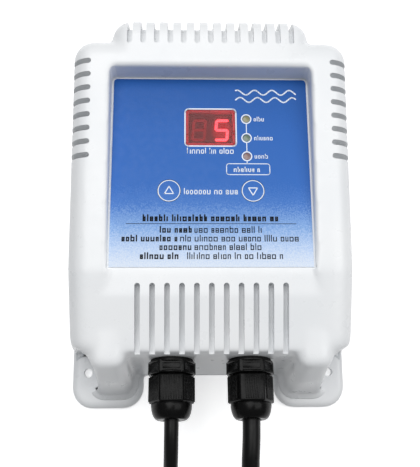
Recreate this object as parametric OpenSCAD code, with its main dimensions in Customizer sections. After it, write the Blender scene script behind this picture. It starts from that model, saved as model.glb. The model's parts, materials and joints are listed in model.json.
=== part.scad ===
// Salt chlorine generator: a wall box with a display and two keys, two cable glands,
// a mains cord with a plug, and a drop-in electrolytic cell on its own cable.
// The box lies on its back: +Z is its front, +Y its top, and the glands point to -Y.

/* [Box] */
// Width of the box across its back
body_w = 158; // [156:1:190]
// Length of the box from its top to the ends of the lower ears
body_l = 220; // [214:1:264]
// Height of the front ridge above the wall
ridge_z = 76; // [74:1:90]
// Thickness of the cover's walls
wall = 2.5; // [2:0.1:3.2]
// Radius of the cover's front edges
edge_r = 11; // [9:0.5:13]
// Thickness of the back plate at its rim and ears
base_t = 6; // [5:0.5:8]
// Radius of the wall screw holes
wall_hole_r = 2.5; // [2:0.1:3.5]

/* [Vents] */
// Distance between neighbouring vent grooves
vent_pitch = 7.5; // [7:0.1:9]
// Width of a vent groove
vent_w = 3.2; // [2:0.1:4]
// Depth of a vent groove
vent_d = 3.4; // [2:0.1:4]
// Number of grooves over the top edge
top_vents = 13; // [5:2:13]
// Number of grooves on each side
side_vents = 8; // [3:1:8]
// Number of grooves below the label
low_vents = 11; // [5:2:11]

/* [Label and keys] */
// Width of the label
label_w = 106; // [100:1:110]
// Length of the label
label_l = 106.4; // [100:0.2:110]
// Thickness of the label
label_t = 0.6; // [0.4:0.1:1]
// Radius of a key
key_r = 6; // [5:0.1:7.2]
// How far a key travels
key_travel = 0.4; // [0.2:0.05:0.6]
// Width of the display window
window_w = 27; // [26:0.5:30]
// Length of the display window
window_l = 21; // [20:0.5:23]

/* [Glands and cords] */
// Radius of a gland's thread
gland_thread_r = 9.3; // [8:0.1:11.2]
// Length of a gland outside the wall
gland_len = 31; // [28:1:37]
// Distance between the two glands
gland_gap = 41.4; // [40:0.2:48]
// Radius of the mains cord
mains_r = 3.75; // [3:0.05:4.5]
// Radius of the cell's cable
cell_cable_r = 4.65; // [3.5:0.05:5]

/* [Boards] */
// Thickness of a circuit board
board_t = 1.6; // [1:0.1:2]
// Width of the control board
control_w = 84; // [80:1:92]
// Width of the power board
power_w = 112; // [110:1:120]
// Length of the power board
power_l = 60; // [58:1:66]

/* [Cell] */
// Radius of the cell
cell_r = 17; // [14:0.5:18]
// Length of the cell's cage
cage_l = 50; // [40:1:52]

/* [Hidden] */
$fn = 48;

// Clearances
fit = 0.05;             // parts that slip into each other
gap = 0.3;              // parts that move past each other
eps = 0.1;              // how far a cut runs past a face

// Box
half_w = body_w / 2;
top_y = body_l / 2;
ear_y = -body_l / 2;
wall_y = ear_y + 19;    // gland wall at the back plate
front_y = wall_y + 10;  // gland wall at the front
low_z = 61;             // height of the front above the gland wall
shoulder_y = top_y - 19;
top_lean = 10.4;        // how far the top face leans back
ear_r = 12;
ear_w = 41;             // ears beside the notch under the glands
bead_w = 7;             // rim of an ear outside the cover's foot
floor_t = 3;            // back plate inside the cover
label_bottom_z = 67.5;
label_top_z = 61.4;
label_y0 = top_y - 148;
label_y1 = label_y0 + label_l;
label_tilt = atan((label_bottom_z - label_top_z) / label_l);
rail_z = label_bottom_z + 1.8;
recess_gap = 1;
hole_x = half_w - 9;    // wall screws
hole_low_y = ear_y + 20;
hole_top_y = top_y - 11;
bite_r = 9;
boss_r = 5.5;           // cover screw bosses
boss_x = half_w - 9.5;
boss_ys = [wall_y + 27, shoulder_y - 21];
screw_r = 1.75;
screw_head_r = 3.6;
screw_head_t = 2.2;

// Label and what is seen in it, from the label's centre
window_at = [0, 24.5];
led_x = 19.5;
led_ys = [29.5, 18.4, 7.8];
led_window_r = 2.1;
key_x = 22.3;
key_y = -11.8;
display_w = 25;
display_l = 19;
display_t = 8;
board_top = -label_t - wall - 0.3 - display_t;
control_l = 72;
control_y = 5;
post_x = control_w / 2 - 5;
post_y = control_l / 2 - 4;
small_screw_r = 1.3;
stem_r = 2.2;
plunger_r = 1.7;
switch_w = 6;
switch_t = 3.5;
stem_low = board_top + switch_t + 1.5;

// Power supply
power_z = 11;
power_y = wall_y + 23 + power_l / 2;
power_top = power_z + board_t;
core_w = 66;
core_l = 55;
core_t = 22;
core_y = shoulder_y - 16 - core_l / 2;
core_z = 12;

// Glands, square to the leaning wall, which runs from the back plate up to the front edge's round
gland_flats = 2 * (gland_thread_r + 1.7);
nut_flats = gland_flats + 1;
gland_z = low_z - 5.5 - nut_flats / 2;
low_round = [front_y + edge_r - 2, low_z + 1 - edge_r];
wall_rise = low_round - [wall_y, base_t + 1];
gland_tilt = atan(wall_rise[0] / wall_rise[1]) - asin(edge_r / norm(wall_rise));
gland_y = wall_y + (gland_z - base_t - 1) * tan(gland_tilt);
gasket_t = 1.2;
hex_t = 6.6;
cap_z = 9.2;
dome_l = 8.4;
nut_t = 5;
seal_z0 = 12;
seal_z1 = gland_len - 8;

// Cords: hand-chosen points of the uncoiled stretches, and the middle of each coil
mains_lead = [[-20.7, -96, 46], [-20.7, -114.4, 49.3], [-20.8, -125, 49.6], [-21, -136, 46.3],
  [-21.5, -146, 38.5], [-22.5, -153.5, 28], [-25, -160.5, 17], [-30, -170, 8.5],
  [-38, -183, 4.4], [-48, -200, 3.75], [-56, -220, 3.75], [-61, -242, 3.75],
  [-65, -265, 3.75], [-69, -288, 3.75], [-72.5, -310, 3.75], [-74.5, -330, 3.75],
  [-75, -347, 3.75]];
mains_tail = [[-31.5, -390.5, 26.25], [-18, -390.5, 25], [-6, -390.5, 20],
  [4, -390.5, 14.5], [13, -390.5, 12.2], [18, -390.5, 12]];
mains_coil_at = [-31.5, -347, 0];
mains_coil_mid = 37.5;
mains_turns = 6.25;
cell_lead = [[20.7, -96, 46], [20.7, -114.4, 49.3], [20.3, -126, 51], [19.8, -138, 50],
  [21, -151, 44.5], [27, -163, 35.5], [35.5, -173, 25], [44, -182, 14.5],
  [51.5, -189.5, 7], [57.4, -195.6, 4.65]];
cell_tail = [[74.1, -236, 32.55], [72.5, -252, 30.5], [68, -267, 24.5],
  [63.5, -281, 19], [62.2, -291, 17.2], [62, -296, 17]];
cell_coil_at = [17, -236, 0];
cell_coil_mid = 46.5;
cell_turns = 9.125;
coil_layers = 4;
tube_sides = 10;

// Plug and cell
plug_at = [18, -390.5, 12];
plug_l = 34;
plug_w = 22;
plug_t = 23;
blade_l = 17;
cell_at = [62, -296, 17];
head_l = 22;
plate_t = 0.8;
plate_count = 5;

// ---------- shapes used by several pieces ----------

// A rectangle with round corners
module round_rect(x0, x1, y0, y1, r) {
  translate([x0 + r, y0]) square([x1 - x0 - 2 * r, y1 - y0]);
  translate([x0, y0 + r]) square([x1 - x0, y1 - y0 - 2 * r]);
  for (x = [x0 + r, x1 - r], y = [y0 + r, y1 - r]) translate([x, y]) circle(r);
}

// A mirrored pair, left and right
module both_sides() {
  for (side = [0, 1]) mirror([side, 0, 0]) children();
}

// The label's own frame: its centre, with its face at zero
module on_label() {
  translate([0, (label_y0 + label_y1) / 2, (label_bottom_z + label_top_z) / 2])
    rotate([-label_tilt, 0, 0]) children();
}

// A gland's own frame: the outside of the wall, pointing out of it
module on_gland(side) {
  translate([side * gland_gap / 2, gland_y, gland_z]) rotate([90 - gland_tilt, 0, 0]) children();
}

// A tube along points, with its rings square to the path
function unit(v) = v / norm(v);
function heading(p, i) = unit(p[min(i + 1, len(p) - 1)] - p[max(i - 1, 0)]);
function ring(p, i, r, n) =
  let (t = heading(p, i), u = unit(cross(t, [0, 0, 1])), v = cross(u, t))
  [for (k = [0:n - 1]) p[i] + r * (cos(360 * k / n) * u + sin(360 * k / n) * v)];
module tube(p, r, n) {
  last = len(p) - 1;
  points = [for (i = [0:last]) each ring(p, i, r, n)];
  sides = [for (i = [0:last - 1], k = [0:n - 1])
    [i * n + k, i * n + (k + 1) % n, (i + 1) * n + (k + 1) % n, (i + 1) * n + k]];
  ends = [[for (k = [n - 1:-1:0]) k], [for (k = [0:n - 1]) last * n + k]];
  polyhedron(points, concat(sides, ends));
}

// A coil's outer shape: rings of cord in layers
module coil_ring(mid, r, turns) {
  reach = turns / coil_layers * r + r;
  rotate_extrude($fn = 64) translate([mid - reach, 0]) square([2 * reach, 2 * coil_layers * r]);
}

// ---------- box ----------

// The foot of a tongue beside the glands, inside its ear's bead
module tongue_foot(i) {
  round_rect(half_w - ear_w + 5 + i, half_w - 12 - i, ear_y + bead_w + i, wall_y + 30, 7 - i / 2);
}

// The cover's footprint on the back plate, shrunk by a margin
module foot(i) {
  difference() {
    union() {
      round_rect(-half_w + 1 + i, half_w - 1 - i, wall_y + i, shoulder_y - i, 10);
      round_rect(-half_w + 20 + i, half_w - 20 - i, shoulder_y - 40, top_y - 0.5 - i, 4);
      both_sides() tongue_foot(i);
    }
    both_sides() translate([hole_x, hole_low_y]) circle(bite_r + i);
  }
}

// The back plate's outline, with its ears and the notch under the glands
module plate_outline() {
  union() {
    round_rect(-half_w, half_w, wall_y - 0.5, top_y, ear_r);
    both_sides() round_rect(half_w - ear_w, half_w, ear_y, wall_y + 30, ear_r);
  }
}

module base_plate() color("white") difference() {
  union() {
    difference() {
      linear_extrude(base_t) plate_outline();
      translate([0, 0, floor_t]) linear_extrude(base_t) foot(wall + 0.6);
    }
    both_sides() for (y = boss_ys) translate([boss_x, y, 0]) cylinder(base_t, r = boss_r + 0.5);
    for (x = [-1, 1], y = [-1, 1]) translate([x * (power_w / 2 - 5), power_y + y * (power_l / 2 - 5), 0])
      cylinder(power_z, r = 3.5);
    for (x = [-1, 1]) translate([x * (core_w / 2 + 6), core_y, 0]) cylinder(core_z - 2, r = 4);
  }
  both_sides() for (y = [hole_low_y, hole_top_y]) translate([hole_x, y, -eps])
    cylinder(base_t + 2 * eps, r = wall_hole_r);
  both_sides() for (y = boss_ys) translate([boss_x, y, -eps]) {
    cylinder(base_t + 2 * eps, r = screw_r + gap);
    cylinder(screw_head_t + 0.4, r = screw_head_r + gap);
  }
  for (x = [-1, 1], y = [-1, 1]) translate([x * (power_w / 2 - 5), power_y + y * (power_l / 2 - 5), floor_t])
    cylinder(power_z, r = small_screw_r + fit);
  for (x = [-1, 1]) translate([x * (core_w / 2 + 6), core_y, floor_t - 1]) cylinder(20, r = screw_r + fit);
  gasket_ring(0);
}

// The groove's and the gasket's ring, let into the rim
module gasket_ring(side_gap) {
  translate([0, 0, base_t - 1.2]) linear_extrude(1.2 + (side_gap == 0 ? eps : 0)) difference() {
    foot(0.6 + side_gap);
    foot(1.9 - side_gap);
  }
}
module cover_gasket() color("gainsboro") gasket_ring(fit);

// The cover's solid form, shrunk by a margin on every side but its open back
module dome(i) {
  r = edge_r - i;
  back = base_t - (i > 0 ? 1 : 0);
  sides = i > 0 ? 20 : 32;
  difference() {
    union() {
      hull() {
        translate([0, 0, back]) linear_extrude(1)
          round_rect(-half_w + 1 + i, half_w - 1 - i, wall_y + i, shoulder_y - i, 10);
        both_sides() {
          translate([half_w - 4.4 - edge_r, shoulder_y - 4 - edge_r, ridge_z - edge_r]) sphere(r, $fn = sides);
          translate([half_w - 4 - edge_r, label_y0, rail_z - edge_r]) sphere(r, $fn = sides);
          translate([half_w - 5 - edge_r, low_round[0], low_round[1]]) sphere(r, $fn = sides);
          translate([half_w - 22, front_y + i, low_z - i - 1]) cube([1, 1, 1]);
        }
      }
      hull() {
        translate([0, 0, back]) linear_extrude(1)
          round_rect(-half_w + 20 + i, half_w - 20 - i, shoulder_y - 40, top_y - 0.5 - i, 4);
        both_sides() for (y = [shoulder_y - 35, top_y - top_lean - edge_r])
          translate([half_w - 25.5 - edge_r, y, ridge_z - edge_r]) sphere(r, $fn = sides);
      }
      both_sides() hull() {
        translate([0, 0, back]) linear_extrude(1) tongue_foot(i);
        for (x = [half_w - 28.5, half_w - 22], y = [front_y - 2, front_y + 22])
          translate([x, y, low_z - 6 + (y - front_y) * 0.1]) sphere(6.5 - i, $fn = sides - 4);
      }
    }
    both_sides() hull() {
      translate([hole_x, hole_low_y, base_t - 2]) cylinder(1, r = bite_r + i);
      translate([half_w - 2, hole_low_y - 2.5, low_z + 5]) cylinder(1, r = 16 + i);
    }
  }
}

// The sunk field for the label and the flat below it, grown by a margin
module recess(i) {
  on_label() translate([-label_w / 2 - recess_gap - i, -label_l / 2 - recess_gap - i, -label_t - i])
    cube([label_w + 2 * (recess_gap + i), label_l + 2 * (recess_gap + i), 40]);
  hull() for (step = [[label_y0 + 0.5, label_w / 2, label_bottom_z], [label_y0 - 15, label_w / 2 + 5, rail_z - 2.9]])
    translate([-step[1] - i, step[0], step[2] - i]) cube([2 * (step[1] + i), 0.1, 20]);
}

// Vent grooves, over the top edge, round both sides and down to the gland wall
module groove(length) {
  linear_extrude(60) {
    translate([-vent_w / 2, vent_w / 2]) square([vent_w, length]);
    translate([0, vent_w / 2]) circle(vent_w / 2, $fn = 16);
  }
}
module grooves() {
  for (k = [0:top_vents - 1])
    translate([(k - (top_vents - 1) / 2) * vent_pitch, top_y - 26.3, ridge_z - 26]) groove(40);
  both_sides() for (k = [0:side_vents - 1])
    translate([half_w - 13.5, label_y1 + 4.1 - k * vent_pitch, ridge_z - 32]) rotate([0, 0, -90]) groove(40);
  for (k = [0:low_vents - 1])
    translate([(k - (low_vents - 1) / 2) * vent_pitch, label_y0 - 7.5, low_z - 4])
      rotate([0, 0, 180]) groove(60);
}
module vent_fields() {
  field_w = (top_vents + 1) * vent_pitch;
  translate([-field_w / 2, top_y - 30, ridge_z - 30]) cube([field_w, 40, 40]);
  both_sides() translate([half_w - 18, label_y1 + 8 - side_vents * vent_pitch, ridge_z - 36])
    cube([30, side_vents * vent_pitch, 50]);
  translate([-field_w / 2 + 6, wall_y - 2, low_z - 5.8]) cube([field_w - 12, label_y0 - 4 - wall_y, 40]);
}

module front_cover() color("whitesmoke") difference() {
  union() {
    difference() {
      dome(0);
      difference() {
        union() {
          difference() {
            dome(wall);
            vent_fields();
          }
          dome(wall + vent_d);
        }
        recess(wall);
      }
    }
    intersection() {
      dome(wall / 2);
      union() {
        both_sides() for (y = boss_ys) translate([boss_x, y, base_t]) cylinder(34, r = boss_r, $fn = 32);
        on_label() for (x = [-post_x, post_x], y = [-post_y, post_y])
          translate([x, control_y + y, board_top]) cylinder(-board_top - label_t - 1, r = 3.5, $fn = 24);
      }
    }
  }
  recess(0);
  difference() {
    grooves();
    dome(vent_d);
  }
  both_sides() for (y = boss_ys) translate([boss_x, y, base_t - 1]) cylinder(25, r = screw_r + fit, $fn = 32);
  on_label() {
    for (x = [-post_x, post_x], y = [-post_y, post_y])
      translate([x, control_y + y, board_top - 1]) cylinder(8, r = small_screw_r + fit, $fn = 24);
    translate([window_at[0] - display_w / 2 + 0.5, window_at[1] - display_l / 2 + 0.5, -label_t - wall - 1])
      cube([display_w - 1, display_l - 1, wall + 2]);
    for (y = led_ys) translate([led_x, y, -label_t - wall - 1]) cylinder(wall + 2, r = 1.7, $fn = 24);
    for (x = [-key_x, key_x]) translate([x, key_y, -label_t - 2 * key_travel]) {
      cylinder(2, r = key_r + 2 * gap, $fn = 40);
      translate([0, 0, -wall - 2]) cylinder(wall + 4, r = stem_r + 2 * gap, $fn = 32);
    }
  }
  for (side = [-1, 1]) on_gland(side) translate([0, 0, -20]) cylinder(30, r = gland_thread_r + gap, $fn = 40);
}

module cover_screws() color("silver") both_sides() for (y = boss_ys) translate([boss_x, y, 0]) {
  translate([0, 0, 0.2]) cylinder(screw_head_t, r = screw_head_r);
  translate([0, 0, screw_head_t]) cylinder(base_t + 14, r = screw_r);
}

// ---------- label and keys ----------

module label_panel() color("royalblue") on_label() translate([0, 0, -label_t]) difference() {
  linear_extrude(label_t) union() {
    round_rect(-label_w / 2, label_w / 2, 0, label_l / 2, 2);
    translate([-label_w / 2, -label_l / 2]) square([label_w, label_l / 2 + 3]);
  }
  translate([0, 0, -eps]) linear_extrude(label_t + 2 * eps) {
    translate(window_at) round_rect(-window_w / 2, window_w / 2, -window_l / 2, window_l / 2, 1.5);
    for (y = led_ys) translate([led_x, y]) circle(led_window_r);
    for (x = [-key_x, key_x]) translate([x, key_y]) circle(key_r + gap);
  }
}
module display_filter() color("darkred") on_label() translate([window_at[0], window_at[1], -label_t])
  linear_extrude(label_t) round_rect(-window_w / 2 + fit, window_w / 2 - fit,
    -window_l / 2 + fit, window_l / 2 - fit, 1.4);
module led_windows() color("lightgray") on_label() for (y = led_ys)
  translate([led_x, y, -label_t]) cylinder(label_t, r = led_window_r - fit);

module key(side) color("royalblue") on_label() translate([side * key_x, key_y, 0]) {
  translate([0, 0, -label_t]) cylinder(label_t, r = key_r);
  translate([0, 0, stem_low]) cylinder(-stem_low - label_t, r = stem_r);
}
module key_up() key(-1);
module key_down() key(1);

module plunger(side) color("dimgray") on_label() translate([side * key_x, key_y, stem_low - 2.8])
  cylinder(2.8, r = plunger_r);
module plunger_up() plunger(-1);
module plunger_down() plunger(1);

module tact_switches() color("black") on_label() for (side = [-1, 1])
  translate([side * key_x, key_y, board_top]) difference() {
    translate([-switch_w / 2, -switch_w / 2, 0]) cube([switch_w, switch_w, switch_t]);
    translate([0, 0, switch_t - 2.4]) cylinder(3, r = plunger_r + gap);
  }

// ---------- control board ----------

// One figure of seven strokes, lying flat
seg_w = 1.3;
seg_h = 5.4;
module stroke() polygon([[-seg_h / 2, 0], [-seg_h / 2 + seg_w / 2, seg_w / 2], [seg_h / 2 - seg_w / 2, seg_w / 2],
  [seg_h / 2, 0], [seg_h / 2 - seg_w / 2, -seg_w / 2], [-seg_h / 2 + seg_w / 2, -seg_w / 2]]);
module figure() {
  for (y = [-6, 0, 6]) translate([0, y]) stroke();
  for (x = [-3, 3], y = [-3, 3]) translate([x, y]) rotate(90) stroke();
}
module figures() for (x = [-6.35, 6.35]) translate([x, 0]) figure();

module display_module() color("maroon") on_label() translate([window_at[0], window_at[1], board_top])
  difference() {
    translate([-display_w / 2, -display_l / 2, 0]) cube([display_w, display_l, display_t]);
    translate([0, 0, display_t - 0.4]) linear_extrude(1) figures();
  }
module display_digits() color("red") on_label()
  translate([window_at[0], window_at[1], board_top + display_t - 0.4]) linear_extrude(0.4) figures();

module led(y) color("gray") on_label() translate([led_x, y, board_top]) rotate_extrude() {
  square([1.5, 6.2]);
  square([1.9, 1]);
  intersection() {
    translate([0, 6.2]) circle(1.5);
    square([2, 10]);
  }
}
module led_low() led(led_ys[0]);
module led_normal() led(led_ys[1]);
module led_high() led(led_ys[2]);

module control_board() color("darkgreen") on_label() difference() {
  translate([-control_w / 2, control_y - control_l / 2, board_top - board_t])
    cube([control_w, control_l, board_t]);
  for (x = [-post_x, post_x], y = [-post_y, post_y])
    translate([x, control_y + y, board_top - board_t - eps]) cylinder(board_t + 2 * eps, r = small_screw_r + gap);
}
module control_board_screws() color("silver") on_label() for (x = [-post_x, post_x], y = [-post_y, post_y])
  translate([x, control_y + y, board_top - board_t]) {
    translate([0, 0, -1.8]) cylinder(1.8, r = 2.6);
    translate([0, 0, -1]) cylinder(board_t + 7, r = small_screw_r);
  }
module microcontroller() color("black") on_label()
  translate([-18, control_y + 8, board_top - board_t - 3.4]) cube([36, 8, 3.4]);

ribbon_w = 12;
header_t = 5;
header_y = control_y - control_l / 2 + 3;
module ribbon_headers() {
  color("beige") on_label() translate([-ribbon_w / 2 - 1, header_y, board_top - board_t - header_t])
    cube([ribbon_w + 2, 5, header_t]);
  color("beige") translate([-ribbon_w / 2 - 1, power_y + power_l / 2 - 9, power_top]) cube([ribbon_w + 2, 5, header_t]);
}
module ribbon_cable() color("lightgray") {
  low = power_top + header_t;
  high = label_bottom_z - 26;
  y0 = power_y + power_l / 2 - 8;
  translate([-ribbon_w / 2, y0, low]) cube([ribbon_w, 1, high - low]);
}

// ---------- power supply ----------

module power_board() color("darkgreen") difference() {
  translate([-power_w / 2, power_y - power_l / 2, power_z]) cube([power_w, power_l, board_t]);
  for (x = [-1, 1], y = [-1, 1]) translate([x * (power_w / 2 - 5), power_y + y * (power_l / 2 - 5), power_z - eps])
    cylinder(board_t + 2 * eps, r = small_screw_r + gap);
}
module power_board_screws() color("silver") for (x = [-1, 1], y = [-1, 1])
  translate([x * (power_w / 2 - 5), power_y + y * (power_l / 2 - 5), power_top]) {
    cylinder(1.8, r = 2.6);
    translate([0, 0, -7]) cylinder(8, r = small_screw_r);
  }

sink_at = [30, power_y + 8];
module heat_sink() color("silver") translate([sink_at[0] - 21, sink_at[1], power_top]) {
  cube([42, 3, 24]);
  for (k = [0:6]) translate([1 + k * 6.5, 3, 0]) cube([1.5, 11, 24]);
}
module bridge_rectifier() color("black") difference() {
  translate([sink_at[0] - 9, sink_at[1] - 4, power_top + 3]) cube([18, 4, 17]);
  translate([sink_at[0], sink_at[1] - 5, power_top + 16]) rotate([-90, 0, 0]) cylinder(6, r = 1.5);
}
module smoothing_capacitor() color("black") translate([-2, power_y + 12, power_top]) cylinder(26, r = 8);

module relay(x) color("dodgerblue") translate([x, power_y - 17, power_top]) cube([15.5, 19, 15.5]);
module relay_forward() relay(6);
module relay_reverse() relay(24);

fuse_at = [-43, power_y - 2, power_top + 6];
module fuse_holder() color("gray") for (end = [-1, 1])
  translate([fuse_at[0], fuse_at[1] + end * 8.5, power_top]) difference() {
    translate([-3.6, -2, 0]) cube([7.2, 4, 9]);
    translate([0, 0, fuse_at[2] - power_top]) rotate([90, 0, 0]) cylinder(5, r = 2.65, center = true);
  }
module fuse() translate(fuse_at) rotate([90, 0, 0]) {
  color("silver") for (end = [-1, 1]) translate([0, 0, end * 8]) cylinder(4, r = 2.6, center = true);
  color("white") cylinder(12, r = 2.3, center = true);
}

module terminal(x, ways) color("green") translate([x, power_y - power_l / 2 + 2, power_top]) difference() {
  cube([ways * 5, 8, 10]);
  for (k = [0:ways - 1]) translate([k * 5 + 2.5, -eps, 4]) rotate([-90, 0, 0]) cylinder(6, r = 1.4);
}
module mains_terminal() terminal(-28.5, 3);
module cell_terminal() terminal(13.5, 3);

module transformer_core() color("gray") translate([0, core_y, core_z]) difference() {
  translate([-core_w / 2, -core_l / 2, 0]) cube([core_w, core_l, core_t]);
  for (x = [-16.5, 16.5]) translate([x - 5.5, -core_l / 2 + 11, -eps]) cube([11, core_l - 22, core_t + 2 * eps]);
}
winding_gap = 0.2;
module transformer_winding() color("goldenrod") translate([0, core_y, core_z + core_t / 2]) difference() {
  cube([44 - 2 * winding_gap, core_l - 22 - 2 * winding_gap, core_t + 16 - 4 * winding_gap], center = true);
  cube([22 + 2 * winding_gap, core_l, core_t + 2 * winding_gap], center = true);
}
module transformer_bracket() color("silver") translate([0, core_y, 0]) difference() {
  union() {
    for (x = [-1, 1]) {
      translate([x * (core_w / 2 + 0.7) - 0.6, -9, core_z - 2]) cube([1.2, 18, core_t + 3.2]);
      translate([x * (core_w / 2 + 5.5) - 5.4, -9, core_z - 2]) cube([10.8, 18, 1.5]);
    }
  }
  for (x = [-1, 1]) translate([x * (core_w / 2 + 6), 0, 0]) cylinder(core_z + 4, r = screw_r + gap);
}
module transformer_screws() color("silver") for (x = [-1, 1])
  translate([x * (core_w / 2 + 6), core_y, core_z - 0.5]) {
    cylinder(2, r = 3.2);
    translate([0, 0, floor_t - core_z]) cylinder(core_z - floor_t + 1, r = screw_r);
  }

// ---------- glands ----------

module hexagon(flats, h) cylinder(h, r = flats / 2 / cos(30), $fn = 6);

module gland_body(side, cable_r) color("black") on_gland(side) difference() {
  union() {
    translate([0, 0, gasket_t]) hexagon(gland_flats, hex_t);
    translate([0, 0, -wall - nut_t - 2]) cylinder(wall + nut_t + 3.5, r = gland_thread_r);
    translate([0, 0, gasket_t]) cylinder(seal_z0 + 4 - gasket_t, r = gland_thread_r - 0.3);
  }
  translate([0, 0, -wall - nut_t - 3]) cylinder(60, r = cable_r + 1.4);
  translate([0, 0, seal_z0 - fit]) cylinder(60, r = gland_thread_r - 1.9);
}
module gland_gasket(side) color("dimgray") on_gland(side) difference() {
  cylinder(gasket_t, r = gland_flats / 2 + 0.2);
  translate([0, 0, -eps]) cylinder(gasket_t + 2 * eps, r = gland_thread_r + fit);
}
module gland_locknut(side) color("black") on_gland(side) translate([0, 0, -wall - nut_t - gap]) difference() {
  hexagon(nut_flats, nut_t);
  translate([0, 0, -eps]) cylinder(nut_t + 2 * eps, r = gland_thread_r + fit);
}
module gland_seal(side, cable_r) color("dimgray") on_gland(side) translate([0, 0, seal_z0]) difference() {
  cylinder(seal_z1 - seal_z0, r = gland_thread_r - 2);
  translate([0, 0, -eps]) cylinder(40, r = cable_r + fit);
}
module gland_cap(side, cable_r) color("black") on_gland(side) difference() {
  union() {
    translate([0, 0, cap_z]) hexagon(gland_flats, gland_len - dome_l - cap_z);
    translate([0, 0, gland_len - dome_l]) rotate_extrude() intersection() {
      scale([1, dome_l / (gland_flats / 2 - 0.6)]) circle(gland_flats / 2 - 0.6);
      square(gland_flats);
    }
  }
  translate([0, 0, cap_z - eps]) cylinder(seal_z0 + 5 - cap_z, r = gland_thread_r - 0.3 + fit);
  translate([0, 0, cap_z]) cylinder(seal_z1 - cap_z + fit, r = gland_thread_r - 2 + fit);
  cylinder(60, r = cable_r + gap);
}
module mains_gland_body() gland_body(-1, mains_r);
module mains_gland_gasket() gland_gasket(-1);
module mains_gland_locknut() gland_locknut(-1);
module mains_gland_seal() gland_seal(-1, mains_r);
module mains_gland_cap() gland_cap(-1, mains_r);
module cell_gland_body() gland_body(1, cell_cable_r);
module cell_gland_gasket() gland_gasket(1);
module cell_gland_locknut() gland_locknut(1);
module cell_gland_seal() gland_seal(1, cell_cable_r);
module cell_gland_cap() gland_cap(1, cell_cable_r);

// The cord's cores inside the box, from the gland to the terminals
core_r = 1.1;
module cores(x_gland, x_terminal) for (k = [-1:1]) {
  y_end = power_y - power_l / 2 + 2;
  x0 = x_gland + k * 2.4;
  x1 = x_terminal + k * 5;
  tube([[x0, gland_y - 9.5, gland_z + 1.7], [x0, gland_y + 9.5, gland_z - 1.7], [x0, gland_y + 13, gland_z - 5],
    [(x0 + x1) / 2, gland_y + 13.6, gland_z - 13], [x1, gland_y + 13, power_top + 9],
    [x1, y_end - 3.5, power_top + 4.6], [x1, y_end + 3, power_top + 4]], core_r, 8);
}
module mains_wires() color("sienna") cores(-gland_gap / 2, -21);
module cell_wires() color("red") cores(gland_gap / 2, 21);

// ---------- cords, plug and cell ----------

module mains_cord() color("black") {
  tube(mains_lead, mains_r, tube_sides);
  tube(mains_tail, mains_r, tube_sides);
}
module mains_cord_coil() color("black") translate(mains_coil_at) coil_ring(mains_coil_mid, mains_r, mains_turns);
module cell_cable() color("black") {
  tube(cell_lead, cell_cable_r, tube_sides);
  tube(cell_tail, cell_cable_r, tube_sides);
}
module cell_cable_coil() color("black") translate(cell_coil_at) coil_ring(cell_coil_mid, cell_cable_r, cell_turns);

module plug_body() color("black") translate(plug_at) rotate([0, 90, 0]) {
  cylinder(14, r1 = mains_r + 1.5, r2 = plug_w / 2 - 2);
  intersection() {
    translate([0, 0, 12]) cylinder(plug_l - 12, r = plug_t / 2);
    translate([-plug_t / 2, -plug_w / 2, 0]) cube([plug_t, plug_w, plug_l]);
  }
}
module plug_blades() color("gold") translate(plug_at + [plug_l, 0, 0]) {
  for (y = [-6.35, 6.35]) translate([0, y - 0.75, -4.2]) cube([blade_l, 1.5, 6.3]);
  translate([0, 0, 6.4]) rotate([0, 90, 0]) cylinder(blade_l + 3, r = 2.4);
}

// The cell's own frame: its cable end, pointing along the cell
module on_cell() translate(cell_at) rotate([90, 0, 0]) children();
relief_l = 10;
module cell_strain_relief() color("dimgray") on_cell() cylinder(relief_l, r1 = cell_cable_r + 1.2, r2 = 8);
module cell_head() color("gray") on_cell() translate([0, 0, relief_l]) cylinder(head_l, r = cell_r);
module cell_cage() color("lightgray") on_cell() translate([0, 0, relief_l + head_l]) difference() {
  cylinder(cage_l, r = cell_r);
  translate([0, 0, -eps]) cylinder(cage_l - 3 + eps, r = cell_r - 2);
  for (k = [0:5]) rotate([0, 0, k * 60 + 30]) translate([0, -4, 7]) cube([cell_r + 5, 8, cage_l - 16]);
}
module cell_plates() color("darkgray") on_cell() translate([0, 0, relief_l + head_l])
  for (k = [0:plate_count - 1]) translate([(k - (plate_count - 1) / 2) * 4 - plate_t / 2, -11, 0])
    cube([plate_t, 22, cage_l - 8]);

base_plate();
cover_gasket();
front_cover();
cover_screws();
label_panel();
display_filter();
led_windows();
key_up();
key_down();
plunger_up();
plunger_down();
tact_switches();
display_module();
display_digits();
led_low();
led_normal();
led_high();
control_board();
control_board_screws();
microcontroller();
ribbon_headers();
ribbon_cable();
power_board();
power_board_screws();
bridge_rectifier();
heat_sink();
smoothing_capacitor();
relay_forward();
relay_reverse();
fuse_holder();
fuse();
mains_terminal();
cell_terminal();
transformer_core();
transformer_winding();
transformer_bracket();
transformer_screws();
mains_gland_body();
mains_gland_gasket();
mains_gland_locknut();
mains_gland_seal();
mains_gland_cap();
cell_gland_body();
cell_gland_gasket();
cell_gland_locknut();
cell_gland_seal();
cell_gland_cap();
mains_wires();
cell_wires();
mains_cord();
mains_cord_coil();
plug_body();
plug_blades();
cell_cable();
cell_cable_coil();
cell_strain_relief();
cell_head();
cell_cage();
cell_plates();
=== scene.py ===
import json
import math
import random

import bmesh
import bpy
from mathutils import Matrix, Vector


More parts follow.
